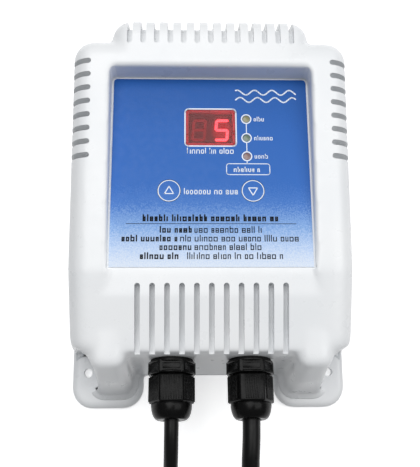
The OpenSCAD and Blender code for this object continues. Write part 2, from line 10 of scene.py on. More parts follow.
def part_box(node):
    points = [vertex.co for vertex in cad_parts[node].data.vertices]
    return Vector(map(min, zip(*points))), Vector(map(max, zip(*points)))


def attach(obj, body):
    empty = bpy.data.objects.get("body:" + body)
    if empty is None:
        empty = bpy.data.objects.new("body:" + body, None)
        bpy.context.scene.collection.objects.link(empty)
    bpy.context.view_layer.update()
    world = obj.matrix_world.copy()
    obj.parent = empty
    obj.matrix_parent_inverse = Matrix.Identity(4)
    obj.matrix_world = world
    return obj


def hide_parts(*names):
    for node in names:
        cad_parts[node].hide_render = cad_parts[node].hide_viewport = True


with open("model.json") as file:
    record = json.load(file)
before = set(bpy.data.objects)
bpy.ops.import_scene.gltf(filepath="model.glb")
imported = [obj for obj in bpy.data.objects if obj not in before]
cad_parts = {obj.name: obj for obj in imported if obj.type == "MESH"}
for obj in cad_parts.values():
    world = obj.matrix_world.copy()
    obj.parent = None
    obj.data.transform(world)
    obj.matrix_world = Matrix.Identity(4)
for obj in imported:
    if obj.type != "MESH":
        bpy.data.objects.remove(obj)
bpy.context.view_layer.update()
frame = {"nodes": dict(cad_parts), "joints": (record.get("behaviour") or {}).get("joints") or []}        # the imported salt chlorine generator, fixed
scene = bpy.context.scene
mm = 0.001
print("frame loaded")


# camera

cameraSetup = {
    "place": (-0.01254, -0.0978, 0.4336),
    "tiltDeg": 12.38,      # leans up the box, away from straight down
    "turnDeg": 1.797,
    "rollDeg": -0.345,
    "lens": 55.5,
    "shiftY": -0.01135,
}


def makeCamera():
    camera = bpy.data.cameras.new("studio_camera")
    camera.lens = cameraSetup["lens"]
    camera.sensor_width = 36
    camera.shift_y = cameraSetup["shiftY"]
    holder = bpy.data.objects.new("studio_camera", camera)
    scene.collection.objects.link(holder)
    tilt = math.radians(cameraSetup["tiltDeg"])
    turn = math.radians(cameraSetup["turnDeg"])
    roll = math.radians(cameraSetup["rollDeg"])
    ahead = Vector((math.sin(turn), math.sin(tilt), -math.cos(tilt))).normalized()
    level = ahead.cross(Vector((0, 1, 0))).normalized()
    upright = level.cross(ahead)
    right = level * math.cos(roll) + upright * math.sin(roll)
    holder.rotation_euler = Matrix((right, right.cross(ahead), -ahead)).transposed().to_euler()
    holder.location = cameraSetup["place"]
    scene.camera = holder


makeCamera()


# cords: listed points of the uncoiled stretches, in metres, and a loop for each coil

mainsCord = {"radius": 3.75 * mm, "centre": (-0.0315, -0.347), "middle": 0.0375, "turns": 6.25,
             "startDeg": 180, "spin": 1}
mainsLead = [(-0.0207, -0.096, 0.046), (-0.0207, -0.1144, 0.0493), (-0.0208, -0.125, 0.0496),
             (-0.021, -0.136, 0.0463), (-0.0215, -0.146, 0.0385), (-0.0225, -0.1535, 0.028),
             (-0.025, -0.1605, 0.017), (-0.03, -0.17, 0.0085), (-0.038, -0.183, 0.0044),
             (-0.048, -0.2, 0.00375), (-0.056, -0.22, 0.00375), (-0.061, -0.242, 0.00375),
             (-0.065, -0.265, 0.00375), (-0.069, -0.288, 0.00375), (-0.0725, -0.31, 0.00375),
             (-0.0745, -0.33, 0.00375)]
mainsTail = [(-0.018, -0.3905, 0.025), (-0.006, -0.3905, 0.02), (0.004, -0.3905, 0.0145),
             (0.013, -0.3905, 0.0122), (0.018, -0.3905, 0.012)]
cellCable = {"radius": 4.65 * mm, "centre": (0.017, -0.236), "middle": 0.0465, "turns": 9.125,
             "startDeg": 45, "spin": -1}
cellLead = [(0.0207, -0.096, 0.046), (0.0207, -0.1144, 0.0493), (0.0203, -0.126, 0.051),
            (0.0198, -0.138, 0.05), (0.021, -0.151, 0.0445), (0.027, -0.163, 0.0355),
            (0.0355, -0.173, 0.025), (0.044, -0.182, 0.0145), (0.0515, -0.1895, 0.007)]
cellTail = [(0.0725, -0.252, 0.0305), (0.068, -0.267, 0.0245), (0.0635, -0.281, 0.019),
            (0.0622, -0.291, 0.0172), (0.062, -0.296, 0.017)]
coilLayers = 4
pointsPerTurn = 16


def easeStep(value):
    value = min(max(value, 0), 1)
    return value * value * (3 - 2 * value)


def coilPoints(cord):
    # layers on each other, each wound in towards the middle or out again by a diameter a turn
    perLayer = cord["turns"] / coilLayers
    count = round(cord["turns"] * pointsPerTurn)
    points = []
    for k in range(count + 1):
        turn = cord["turns"] * k / count
        wave = 2 * abs(1 - (turn / perLayer) % 2) - 1      # 1 outside, -1 inside
        reach = cord["middle"] + wave * perLayer * cord["radius"]
        level = sum(easeStep((turn - change * perLayer) / 0.3 + 0.5) for change in range(1, coilLayers))
        angle = math.radians(cord["startDeg"]) + cord["spin"] * math.tau * turn
        points.append((cord["centre"][0] + reach * math.cos(angle),
                       cord["centre"][1] + reach * math.sin(angle),
                       cord["radius"] * (1 + 2 * level)))
    return points


def makeCord(name, cord, lead, tail, nodes):
    points = lead + coilPoints(cord) + tail
    curve = bpy.data.curves.new(name, "CURVE")
    curve.dimensions = "3D"
    curve.bevel_depth = 1      # the points' own radius gives the cord's
    curve.bevel_resolution = 5
    curve.resolution_u = 4
    curve.use_fill_caps = True
    spline = curve.splines.new("BEZIER")
    spline.bezier_points.add(len(points) - 1)
    for knot, point in zip(spline.bezier_points, points):
        knot.co = point
        knot.radius = cord["radius"]
        knot.handle_left_type = "AUTO"
        knot.handle_right_type = "AUTO"
    piece = bpy.data.objects.new(name, curve)
    scene.collection.objects.link(piece)
    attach(piece, "box")
    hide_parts(*nodes)
    return piece


mainsPiece = makeCord("mains_lead", mainsCord, mainsLead, mainsTail, ("mains_cord", "mains_cord_coil"))
cellPiece = makeCord("cell_lead", cellCable, cellLead, cellTail, ("cell_cable", "cell_cable_coil"))
print("camera and cords made")


# shared shape tools, all in millimetres until a piece is finished

def mmBox(node):
    low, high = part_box(node)
    return low / mm, high / mm


def centreOf(node):
    low, high = mmBox(node)
    return (low + high) / 2


def addBall(bm, at, radius):
    bmesh.ops.create_uvsphere(bm, u_segments=24, v_segments=12, radius=radius,
                              matrix=Matrix.Translation(at))


def addBlock(bm, low, high, matrix=Matrix()):
    middle = (Vector(low) + Vector(high)) / 2
    size = Vector(high) - Vector(low)
    place = matrix @ Matrix.Translation(middle) @ Matrix.Diagonal((*size, 1))
    bmesh.ops.create_cube(bm, size=1, matrix=place)


def addRod(bm, at, radius, height, matrix=Matrix(), sides=40):
    place = matrix @ Matrix.Translation(Vector(at) + Vector((0, 0, height / 2)))
    bmesh.ops.create_cone(bm, cap_ends=True, segments=sides, radius1=radius, radius2=radius,
                          depth=height, matrix=place)


def addRoundSlab(bm, x0, x1, y0, y1, radius, z0, z1):
    for x in (x0 + radius, x1 - radius):
        for y in (y0 + radius, y1 - radius):
            addRod(bm, (x, y, z0), radius, z1 - z0, sides=32)


def join(bm, part, matrix=Matrix()):
    bmesh.ops.transform(part, matrix=matrix, verts=part.verts[:])
    mesh = bpy.data.meshes.new("part")
    part.to_mesh(mesh)
    part.free()
    bm.from_mesh(mesh)
    bpy.data.meshes.remove(mesh)


def addLathe(bm, profile, matrix=Matrix(), closed=False, steps=64):
    # profile is (radius, height) points, from the axis to the axis or closed in a ring
    part = bmesh.new()
    verts = [part.verts.new((radius, 0, height)) for radius, height in profile]
    pairs = list(zip(verts, verts[1:])) + ([(verts[-1], verts[0])] if closed else [])
    edges = [part.edges.new(pair) for pair in pairs]
    bmesh.ops.spin(part, geom=verts + edges, cent=(0, 0, 0), axis=(0, 0, 1), angle=math.tau,
                   steps=steps, use_merge=True)
    bmesh.ops.remove_doubles(part, verts=part.verts[:], dist=1e-4)
    bmesh.ops.recalc_face_normals(part, faces=part.faces[:])
    join(bm, part, matrix)


def addTube(bm, inner, outer, low, high, matrix=Matrix(), steps=64):
    addLathe(bm, [(inner, low), (outer, low), (outer, high), (inner, high)], matrix, True, steps)


def bevelEdges(bm, edge, segments):
    bmesh.ops.bevel(bm, geom=bm.edges[:], offset=edge, segments=segments, profile=0.5,
                    affect="EDGES", material=-1)


def addHexagon(bm, flats, z0, z1, edge, matrix=Matrix()):
    part = bmesh.new()
    radius = flats / 2 / math.cos(math.pi / 6)
    turn = Matrix.Translation((0, 0, (z0 + z1) / 2)) @ Matrix.Rotation(math.pi / 2, 4, "Z")
    bmesh.ops.create_cone(part, cap_ends=True, segments=6, radius1=radius, radius2=radius,
                          depth=z1 - z0, matrix=turn)
    bevelEdges(part, edge, 3)
    join(bm, part, matrix)


def addSoftBlock(bm, low, high, edge, matrix=Matrix()):
    part = bmesh.new()
    addBlock(part, low, high)
    bevelEdges(part, edge, 2)
    join(bm, part, matrix)


def wrap(bm):
    # the tightest closed skin round everything in bm
    bmesh.ops.delete(bm, geom=bm.edges[:] + bm.faces[:], context="EDGES_FACES")
    made = bmesh.ops.convex_hull(bm, input=bm.verts[:])
    inner = [part for part in made["geom_interior"] if isinstance(part, bmesh.types.BMVert)]
    bmesh.ops.delete(bm, geom=inner, context="VERTS")


def toObject(bm, name, merge=True):
    if merge:
        bmesh.ops.remove_doubles(bm, verts=bm.verts[:], dist=1e-4)
    bmesh.ops.recalc_face_normals(bm, faces=bm.faces[:])
    mesh = bpy.data.meshes.new(name)
    bm.to_mesh(mesh)
    bm.free()
    made = bpy.data.objects.new(name, mesh)
    scene.collection.objects.link(made)
    return made


def settle(piece):
    graph = bpy.context.evaluated_depsgraph_get()
    graph.update()
    mesh = bpy.data.meshes.new_from_object(piece.evaluated_get(graph))
    piece.modifiers.clear()
    old = piece.data
    piece.data = mesh
    bpy.data.meshes.remove(old)


def carve(piece, tool, way="DIFFERENCE", crossed=False):
    # crossed is for a piece whose own shells run through each other
    change = piece.modifiers.new("carve", "BOOLEAN")
    change.operation = way
    change.solver = "EXACT"
    change.use_self = crossed
    change.object = tool
    settle(piece)
    bpy.data.objects.remove(tool)


def remesh(piece, voxel):
    change = piece.modifiers.new("voxels", "REMESH")
    change.mode = "VOXEL"
    change.voxel_size = voxel
    settle(piece)


def soften(piece, times, factor=0.5):
    change = piece.modifiers.new("soften", "SMOOTH")
    change.factor = factor
    change.iterations = times
    settle(piece)


def thin(piece, triangles):
    now = sum(len(face.vertices) - 2 for face in piece.data.polygons)
    if now > triangles:
        change = piece.modifiers.new("thin", "DECIMATE")
        change.ratio = triangles / now
        settle(piece)


def cutFlat(piece, z):
    # keeps what is above z, with a flat closed foot
    bm = bmesh.new()
    bm.from_mesh(piece.data)
    cut = bmesh.ops.bisect_plane(bm, geom=bm.verts[:] + bm.edges[:] + bm.faces[:], dist=1e-5,
                                 plane_co=(0, 0, z), plane_no=(0, 0, 1), clear_inner=True)
    rim = [edge for edge in cut["geom_cut"] if isinstance(edge, bmesh.types.BMEdge)]
    bmesh.ops.triangle_fill(bm, edges=rim, use_beauty=True)
    bmesh.ops.recalc_face_normals(bm, faces=bm.faces[:])
    bm.to_mesh(piece.data)
    bm.free()


def finishPiece(piece, material, body="box", replaces=(), smoothDeg=35):
    piece.data.transform(Matrix.Scale(mm, 4))
    piece.data.materials.clear()
    piece.data.materials.append(material)
    piece.data.shade_smooth()
    if smoothDeg < 180:
        piece.data.set_sharp_from_angle(angle=math.radians(smoothDeg))
    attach(piece, body)
    if replaces:
        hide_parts(*replaces)
    return piece


# the box's main sizes, from the frame

plateLow, plateHigh = mmBox("base_plate")
halfW = plateHigh.x
topY = plateHigh.y
earY = plateLow.y
plateT = 6
ridgeZ = mmBox("front_cover")[1].z
wallY = earY + 19
frontY = wallY + 10
lowZ = 61
shoulderY = topY - 19
labelNormal = -Vector(frame["joints"][0]["axis"]).normalized()
labelCentre = centreOf("label_panel") + labelNormal * 0.3
labelTurn = Vector((0, 0, 1)).rotation_difference(labelNormal).to_matrix().to_4x4()
labelFrame = Matrix.Translation(labelCentre) @ labelTurn
labelW = 106
labelL = 106.4
labelY0 = topY - 148
windowY = 24.5             # window, lamps and keys, from the label's centre
lampX = 19.5
lampYs = (29.5, 18.4, 7.8)
keyX = 22.3
keyY = -11.8
bossX = halfW - 9.5
bossYs = (wallY + 27, shoulderY - 21)


def glandFrame(name):
    # the outside of the wall, with z pointing out of it
    gasket = centreOf(name + "_gland_gasket")
    axis = (gasket - centreOf(name + "_gland_locknut")).normalized()
    turn = Vector((0, 0, 1)).rotation_difference(axis).to_matrix().to_4x4()
    return Matrix.Translation(gasket - axis * 0.6) @ turn


glandFrames = [glandFrame("mains"), glandFrame("cell")]


# materials

def srgb(red, green, blue):
    linear = []
    for value in (red, green, blue):
        share = value / 255
        linear.append(((share + 0.055) / 1.055) ** 2.4 if value > 10 else share / 12.92)
    return (*linear, 1)


def startMaterial(name):
    material = bpy.data.materials.new(name)
    material.use_nodes = True
    nodes = material.node_tree.nodes
    links = material.node_tree.links
    coords = nodes.new("ShaderNodeTexCoord")
    return material, nodes, links, nodes["Principled BSDF"], coords.outputs["Object"]


def addNoise(nodes, links, place, scale, detail=2.0, stretch=None):
    if stretch:
        mapping = nodes.new("ShaderNodeMapping")
        mapping.inputs["Scale"].default_value = stretch
        links.new(place, mapping.inputs["Vector"])
        place = mapping.outputs["Vector"]
    noise = nodes.new("ShaderNodeTexNoise")
    noise.inputs["Scale"].default_value = scale
    noise.inputs["Detail"].default_value = detail
    links.new(place, noise.inputs["Vector"])
    return noise.outputs["Fac"]


def addRange(nodes, links, value, low, high, fromLow=0.3, fromHigh=0.7):
    spread = nodes.new("ShaderNodeMapRange")
    spread.inputs["From Min"].default_value = fromLow
    spread.inputs["From Max"].default_value = fromHigh
    spread.inputs["To Min"].default_value = low
    spread.inputs["To Max"].default_value = high
    links.new(value, spread.inputs["Value"])
    return spread.outputs["Result"]


def addRamp(nodes, links, value, stops):
    ramp = nodes.new("ShaderNodeValToRGB")
    ramp.color_ramp.elements[0].position = stops[0][0]
    ramp.color_ramp.elements[0].color = stops[0][1]
    ramp.color_ramp.elements[1].position = stops[-1][0]
    ramp.color_ramp.elements[1].color = stops[-1][1]
    for place, colour in stops[1:-1]:
        ramp.color_ramp.elements.new(place).color = colour
    links.new(value, ramp.inputs["Fac"])
    return ramp.outputs["Color"]


def addBump(nodes, links, shader, height, distance, strength=0.5):
    bump = nodes.new("ShaderNodeBump")
    bump.inputs["Strength"].default_value = strength
    bump.inputs["Distance"].default_value = distance
    links.new(height, bump.inputs["Height"])
    links.new(bump.outputs["Normal"], shader.inputs["Normal"])


def surface(name, light, dark, rough, grain, lift, patch=60, stretch=None, **fixed):
    # light and dark drift over the piece in patches, rough is the lowest and highest roughness,
    # grain is the fine bump's scale and lift its height in metres
    material, nodes, links, shader, place = startMaterial(name)
    drift = addNoise(nodes, links, place, patch, 3, stretch)
    links.new(addRamp(nodes, links, drift, [(0.3, dark), (0.7, light)]), shader.inputs["Base Color"])
    worn = addNoise(nodes, links, place, patch * 6, 4, stretch)
    links.new(addRange(nodes, links, worn, *rough), shader.inputs["Roughness"])
    addBump(nodes, links, shader, addNoise(nodes, links, place, grain, 2, stretch), lift)
    for socket, value in fixed.items():
        shader.inputs[socket.replace("_", " ")].default_value = value
    return material


def makeLabelPrint():
    material, nodes, links, shader, place = startMaterial("label_print")
    split = nodes.new("ShaderNodeSeparateXYZ")
    links.new(place, split.inputs["Vector"])
    bottom = (labelCentre.y - labelL / 2) * mm
    top = (labelCentre.y + labelL / 2) * mm
    height = addRange(nodes, links, split.outputs["Y"], 0.0, 1.0, bottom, top)
    speckle = addRange(nodes, links, addNoise(nodes, links, place, 1500, 1), -0.045, 0.045, 0.25, 0.75)
    fade = nodes.new("ShaderNodeMath")
    links.new(height, fade.inputs[0])
    links.new(speckle, fade.inputs[1])
    stops = [(0.0, srgb(218, 228, 242)), (0.1, srgb(186, 207, 238)), (0.2, srgb(132, 170, 222)),
             (0.32, srgb(66, 119, 196)), (0.42, srgb(44, 104, 186)), (0.7, srgb(40, 99, 180)),
             (1.0, srgb(30, 86, 160))]
    links.new(addRamp(nodes, links, fade.outputs[0], stops), shader.inputs["Base Color"])
    worn = addNoise(nodes, links, place, 300, 3)
    links.new(addRange(nodes, links, worn, 0.34, 0.46), shader.inputs["Roughness"])
    addBump(nodes, links, shader, addNoise(nodes, links, place, 2600, 1), 0.00003, 0.35)
    shader.inputs["Specular IOR Level"].default_value = 0.2
    return material


def makeDisplayBodyPaintedGlow():
    # painted glow: an emitted halo round the lit figure stands in for its light spreading in the
    # moulding, and a weak emission everywhere stands in for the light the body would get through the
    # red glass
    material, nodes, links, shader, place = startMaterial("display_body_painted_glow")
    shader.inputs["Base Color"].default_value = srgb(24, 6, 8)
    shader.inputs["Specular IOR Level"].default_value = 0.1
    figure = labelFrame @ Vector((figureShape["x"], windowY + figureShape["y"], 0)) * mm
    shift = nodes.new("ShaderNodeMapping")
    shift.vector_type = "TEXTURE"
    shift.inputs["Location"].default_value = (figure.x, figure.y, 0)
    shift.inputs["Scale"].default_value = (0.0062, 0.0092, 1000)
    links.new(place, shift.inputs["Vector"])
    reach = nodes.new("ShaderNodeVectorMath")
    reach.operation = "LENGTH"
    links.new(shift.outputs["Vector"], reach.inputs[0])
    paintedGlow = nodes.new("ShaderNodeMapRange")
    paintedGlow.interpolation_type = "SMOOTHERSTEP"
    paintedGlow.inputs["From Min"].default_value = 0.35
    paintedGlow.inputs["From Max"].default_value = 1.2
    paintedGlow.inputs["To Min"].default_value = 0.5
    paintedGlow.inputs["To Max"].default_value = 0.11
    links.new(reach.outputs["Value"], paintedGlow.inputs["Value"])
    shader.inputs["Emission Color"].default_value = (1, 0.25, 0.3, 1)
    links.new(paintedGlow.outputs["Result"], shader.inputs["Emission Strength"])
    worn = addNoise(nodes, links, place, 500)
    links.new(addRange(nodes, links, worn, 0.5, 0.7), shader.inputs["Roughness"])
    addBump(nodes, links, shader, addNoise(nodes, links, place, 1800), 0.00003)
    return material


def makeLampLens():
    # three lamps down the label, unlit: olive, green and red under a clear lens
    material, nodes, links, shader, place = startMaterial("lamp_lens")
    split = nodes.new("ShaderNodeSeparateXYZ")
    links.new(place, split.inputs["Vector"])
    low = (labelFrame @ Vector((0, lampYs[2] - 5, 0))).y * mm
    high = (labelFrame @ Vector((0, lampYs[0] + 5, 0))).y * mm
    height = addRange(nodes, links, split.outputs["Y"], 0.0, 1.0, low, high)
    stops = [(0.0, srgb(134, 108, 108)), (0.32, srgb(132, 106, 106)), (0.34, srgb(104, 122, 108)),
             (0.66, srgb(106, 124, 110)), (0.68, srgb(132, 130, 100)), (1.0, srgb(134, 132, 102))]
    links.new(addRamp(nodes, links, height, stops), shader.inputs["Base Color"])
    worn = addNoise(nodes, links, place, 900)
    links.new(addRange(nodes, links, worn, 0.08, 0.16), shader.inputs["Roughness"])
    addBump(nodes, links, shader, addNoise(nodes, links, place, 1500), 0.00002)
    return material


# the lit figure's place from the window's middle, and its size
figureShape = {"x": 6.2, "y": -0.3, "halfW": 3.2, "halfH": 5.7, "stroke": 1.5, "slantDeg": 5}
dark = srgb(9, 9, 9)

looks = {
    "shell": surface("shell_white", srgb(238, 239, 240), srgb(233, 235, 237),
                     (0.26, 0.36), 1400, 0.00003, patch=25),
    "label": makeLabelPrint(),
    "inkWhite": surface("ink_white", srgb(240, 245, 252), srgb(222, 232, 246),
                        (0.4, 0.55), 3000, 0.00002, Specular_IOR_Level=0.2),
    "inkDark": surface("ink_dark", srgb(14, 20, 30), srgb(8, 12, 20),
                       (0.4, 0.55), 3000, 0.00002, Specular_IOR_Level=0.15),
    "nylon": surface("gland_nylon", srgb(12, 12, 12), dark,
                     (0.2, 0.32), 900, 0.00005, patch=90, Specular_IOR_Level=0.12),
    "rubber": surface("seal_rubber", srgb(14, 14, 14), dark,
                      (0.5, 0.7), 1500, 0.00006, Specular_IOR_Level=0.12),
    "jacket": surface("cord_jacket", srgb(14, 14, 14), dark,
                      (0.3, 0.44), 700, 0.00006, patch=80, Specular_IOR_Level=0.16),
    "silicone": surface("seal_silicone", srgb(214, 217, 219), srgb(202, 206, 209),
                        (0.5, 0.65), 1200, 0.00004),
    "glass": surface("window_glass", (0.8, 0.03, 0.045, 1), (0.7, 0.02, 0.035, 1),
                     (0.03, 0.08), 900, 0.00001, Transmission_Weight=1.0, IOR=1.3),
    # the display body's emission is painted light: a halo round the lit figure and a weak glow
    # everywhere
    "display": makeDisplayBodyPaintedGlow(),
    "lens": makeLampLens(),
    "lit": surface("segment_lit", srgb(255, 120, 130), srgb(255, 90, 105),
                   (0.4, 0.5), 2000, 0.00002, Emission_Color=(0.6, 1, 0.85, 1), Emission_Strength=5.5),
    # the unlit segments' weak emission is painted light, standing in for the light that would show them
    # through the red glass
    "unlitPaintedGlow": surface("segment_unlit_painted_glow", srgb(54, 18, 22), srgb(46, 14, 18),
                     (0.4, 0.5), 2000, 0.00002,
                     Emission_Color=(1, 0.3, 0.4, 1), Emission_Strength=0.26),
    "bulb": surface("lamp_bulb", srgb(206, 208, 204), srgb(190, 194, 190),
                    (0.1, 0.2), 800, 0.00002, Transmission_Weight=0.5),
    "steel": surface("zinc_steel", srgb(176, 180, 184), srgb(150, 154, 158),
                     (0.26, 0.42), 1600, 0.00005, Metallic=1.0),
    "switch": surface("switch_black", srgb(30, 30, 31), srgb(20, 20, 21),
                      (0.35, 0.5), 1500, 0.00004),
    "board": surface("board_green", srgb(26, 92, 50), srgb(18, 74, 40),
                     (0.3, 0.42), 1000, 0.00005, patch=200),
    "chip": surface("chip_black", srgb(34, 34, 36), srgb(25, 25, 27), (0.5, 0.65), 2200, 0.00006),
    "header": surface("header_cream", srgb(226, 216, 190), srgb(214, 202, 174),
                      (0.4, 0.55), 1200, 0.00004),
    "ribbon": surface("ribbon_grey", srgb(168, 170, 172), srgb(148, 150, 153),
                      (0.4, 0.5), 900, 0.00008, stretch=(8, 1, 1)),
    "sink": surface("sink_aluminium", srgb(196, 199, 202), srgb(176, 180, 184),
                    (0.3, 0.45), 1400, 0.00006, stretch=(1, 1, 0.1), Metallic=1.0),
    "relay": surface("relay_blue", srgb(36, 96, 176), srgb(28, 82, 158),
                     (0.3, 0.42), 1200, 0.00004),
    "clip": surface("clip_metal", srgb(190, 182, 160), srgb(168, 160, 140),
                    (0.25, 0.4), 1500, 0.00004, Metallic=1.0),
    "terminal": surface("terminal_green", srgb(52, 140, 70), srgb(42, 122, 60),
                        (0.35, 0.5), 1200, 0.00004),
    "core": surface("core_steel", srgb(112, 110, 106), srgb(88, 86, 84),
                    (0.4, 0.6), 1300, 0.00012, stretch=(1, 1, 12), Metallic=0.8),
    "tape": surface("winding_tape", srgb(214, 170, 74), srgb(196, 150, 58),
                    (0.3, 0.45), 700, 0.00006),
    "brownWire": surface("wire_brown", srgb(112, 66, 40), srgb(96, 54, 32),
                         (0.35, 0.5), 900, 0.00004),
    "redWire": surface("wire_red", srgb(178, 40, 36), srgb(160, 32, 30), (0.35, 0.5), 900, 0.00004),
    "brass": surface("brass_blades", srgb(214, 180, 104), srgb(190, 154, 82),
                     (0.2, 0.36), 1400, 0.00005, Metallic=1.0),
    "cell": surface("cell_grey", srgb(206, 209, 212), srgb(192, 196, 200),
                    (0.34, 0.46), 1200, 0.00005, patch=40),
    "titanium": surface("coated_titanium", srgb(104, 104, 108), srgb(84, 84, 90),
                        (0.4, 0.6), 1700, 0.00012, Metallic=1.0),
}
print("materials made")


# cover

coverShape = {
    "wall": 2.5,
    "edge": 11,
    "grooveW": 2.9,
    "grooveDeep": 6.6,
    "topGrooveDeep": 4.2,
    "topPitch": 7.3,
    "sidePitch": 7.4,
    "lowPitch": 7.65,
    "topGrooves": 13,
    "sideGrooves": 8,
    "lowGrooves": 11,
    "voxel": 1.25,
    "soft": 10,
}
footZ = -12                # how far the form runs on below the back plate's face before it is cut flat


def bodyForm(inset):
    bm = bmesh.new()
    edge = coverShape["edge"]
    addRoundSlab(bm, -halfW + 1 + inset, halfW - 1 - inset, wallY + inset, shoulderY - inset, 10,
                 footZ, plateT + 1)
    corners = ((halfW - 4.4, shoulderY - 4 - edge, ridgeZ), (halfW - 4, labelY0, 69.3),
               (halfW - 5, frontY - 2 + edge, lowZ + 1))
    for side in (-1, 1):
        for x, y, z in corners:
            addBall(bm, (side * (x - edge), y, z - edge), edge - inset)
        addBall(bm, (side * (halfW - 22), frontY + 1.5 + inset, lowZ - 1.5 - inset), 1)
    wrap(bm)
    return toObject(bm, "cover_form")


def topForm(inset):
    bm = bmesh.new()
    edge = coverShape["edge"]
    addRoundSlab(bm, -halfW + 20 + inset, halfW - 20 - inset, shoulderY - 40, topY - 0.5 - inset, 4,
                 footZ, plateT + 1)
    for side in (-1, 1):
        for y in (shoulderY - 35, topY - 10.4 - edge):
            addBall(bm, (side * (halfW - 24.8 - edge), y, ridgeZ - edge), edge - inset)
    wrap(bm)
    return toObject(bm, "top_form")


def tongueForm(side):
    bm = bmesh.new()
    x0, x1 = sorted((side * (halfW - 36), side * (halfW - 12)))
    addRoundSlab(bm, x0, x1, earY + 7, wallY + 30, 7, footZ, plateT + 1)
    for x in (halfW - 28.5, halfW - 22):
        for y, z in ((frontY - 9, lowZ - 21), (frontY - 2, lowZ - 6), (frontY + 22, lowZ - 3.6)):
            addBall(bm, (side * x, y, z), 6.5)
    wrap(bm)
    return toObject(bm, "tongue_form")


def tongueFoot(side):
    # a low skirt round the tongue, which the softening draws into a hollow curve
    bm = bmesh.new()
    x0, x1 = sorted((side * (halfW - 38.5), side * (halfW - 9.5)))
    addRoundSlab(bm, x0, x1, earY + 4.6, wallY + 30, 9, footZ, plateT + 2.2)
    wrap(bm)
    return toObject(bm, "tongue_foot")


def biteTool(side):
    # the pocket over a wall screw, open to the side
    bm = bmesh.new()
    addRod(bm, (side * (halfW - 9), earY + 20, footZ), 9.8, 17)
    addRod(bm, (side * (halfW + 2), earY + 21.5, footZ), 9, 17)
    addRod(bm, (side * (halfW - 2), earY + 17.5, lowZ + 5), 16, 1)
    wrap(bm)
    return toObject(bm, "bite")


def labelRecess(grow=0):
    bm = bmesh.new()
    x = labelW / 2 + 1 + grow
    y = labelL / 2 + 1 + grow
    for side in (-1, 1):
        addRod(bm, (side * (x - 3), y - 3, -0.6 - grow), 3, 30, labelFrame)
        addRod(bm, (side * (x - 0.6), 0.6 - y, -0.6 - grow), 0.6, 30, labelFrame)
    wrap(bm)
    return toObject(bm, "label_recess")


def apron(grow=0):
    # the flat below the label, which widens and fades into the slope
    bm = bmesh.new()
    for y, half, z in ((labelY0 + 0.6, labelW / 2, 67.4), (labelY0 - 15, labelW / 2 + 5, 66.4)):
        addBlock(bm, (-half - grow, y - 0.1, z - grow), (half + grow, y, z + 25))
    wrap(bm)
    return toObject(bm, "apron")


def addSlot(bm, matrix, length):
    half = coverShape["grooveW"] / 2
    tool = bmesh.new()
    addRod(tool, (0, half, 0), half, 60, sides=24)
    addRod(tool, (0, half + length, 0), half, 60, sides=24)
    wrap(tool)
    join(bm, tool, matrix)


def addSlotRow(bm, row, y, z, length, turn=Matrix()):
    count = coverShape[row + "Grooves"]
    for k in range(count):
        x = (k - (count - 1) / 2) * coverShape[row + "Pitch"]
        addSlot(bm, Matrix.Translation((x, y, z)) @ turn, length)


def grooveTool():
    # slots from below the faces upwards, then cut back to the grooves' floors
    bm = bmesh.new()
    addSlotRow(bm, "top", topY - 27.1, ridgeZ - 26, 40)
    addSlotRow(bm, "low", labelY0 - 7.9, lowZ - 4.4, 60, Matrix.Rotation(math.pi, 4, "Z"))
    for side in (-1, 1):
        for k in range(coverShape["sideGrooves"]):
            y = labelY0 + labelL - 0.2 + 4.4 - k * coverShape["sidePitch"]
            place = Matrix.Translation((side * (halfW - 15), y, ridgeZ - 32))
            addSlot(bm, place @ Matrix.Rotation(-side * math.pi / 2, 4, "Z"), 40)
    tool = toObject(bm, "grooves")
    carve(tool, topForm(coverShape["topGrooveDeep"]))
    carve(tool, bodyForm(coverShape["grooveDeep"]))
    return tool


def coverCavity():
    # the room inside, with the screw bosses and the control board's posts left standing
    deep = coverShape["wall"] + coverShape["grooveDeep"]
    cavity = bodyForm(deep)
    carve(cavity, topForm(deep), "UNION")
    carve(cavity, labelRecess(coverShape["wall"]))
    carve(cavity, apron(coverShape["wall"]))
    bm = bmesh.new()
    for matrix in glandFrames:
        addHexagon(bm, 23.8, -24, -2.5, 0.5, matrix)
    carve(cavity, toObject(bm, "nut_room"), "UNION")
    bm = bmesh.new()
    for side in (-1, 1):
        for y in bossYs:
            addTube(bm, 1.8, 5.5, -20, 40, Matrix.Translation((side * bossX, y, 0)))
        for y in (-27, 37):
            post = labelFrame @ Matrix.Translation((side * 37, y, 0))
            addTube(bm, 1.35, 3.5, -11.4, -1, post, 32)
    carve(cavity, toObject(bm, "posts"))
    return cavity


def coverOpenings():
    bm = bmesh.new()
    addBlock(bm, (-12, windowY - 9, -9), (12, windowY + 9, 1), labelFrame)
    for y in lampYs:
        addRod(bm, (lampX, y, -9), 1.7, 10, labelFrame)
    for side in (-1, 1):
        well = labelFrame @ Matrix.Translation((side * keyX, keyY, 0))
        addLathe(bm, [(0, -9), (2.8, -9), (2.8, -1.4), (6.6, -1.4), (6.6, 1), (0, 1)], well)
    for matrix in glandFrames:
        addRod(bm, (0, 0, -26), 9.6, 36, matrix)
    return toObject(bm, "openings")


def makeCover():
    cover = bodyForm(0)
    carve(cover, topForm(0), "UNION")
    for side in (-1, 1):
        carve(cover, tongueForm(side), "UNION")
        carve(cover, tongueFoot(side), "UNION")
        carve(cover, biteTool(side))
    carve(cover, labelRecess())
    carve(cover, apron())
    remesh(cover, coverShape["voxel"])
    soften(cover, coverShape["soft"])
    cutFlat(cover, plateT - 0.6)
    carve(cover, labelRecess())
    carve(cover, grooveTool())
    carve(cover, coverCavity())
    carve(cover, coverOpenings())
    cover.name = "cover_shell"
    return finishPiece(cover, looks["shell"], replaces=["front_cover"], smoothDeg=62)


makeCover()
print("cover made")


# back plate

plateShape = {"ear": 12, "voxel": 0.8, "soft": 5, "triangles": 60000}


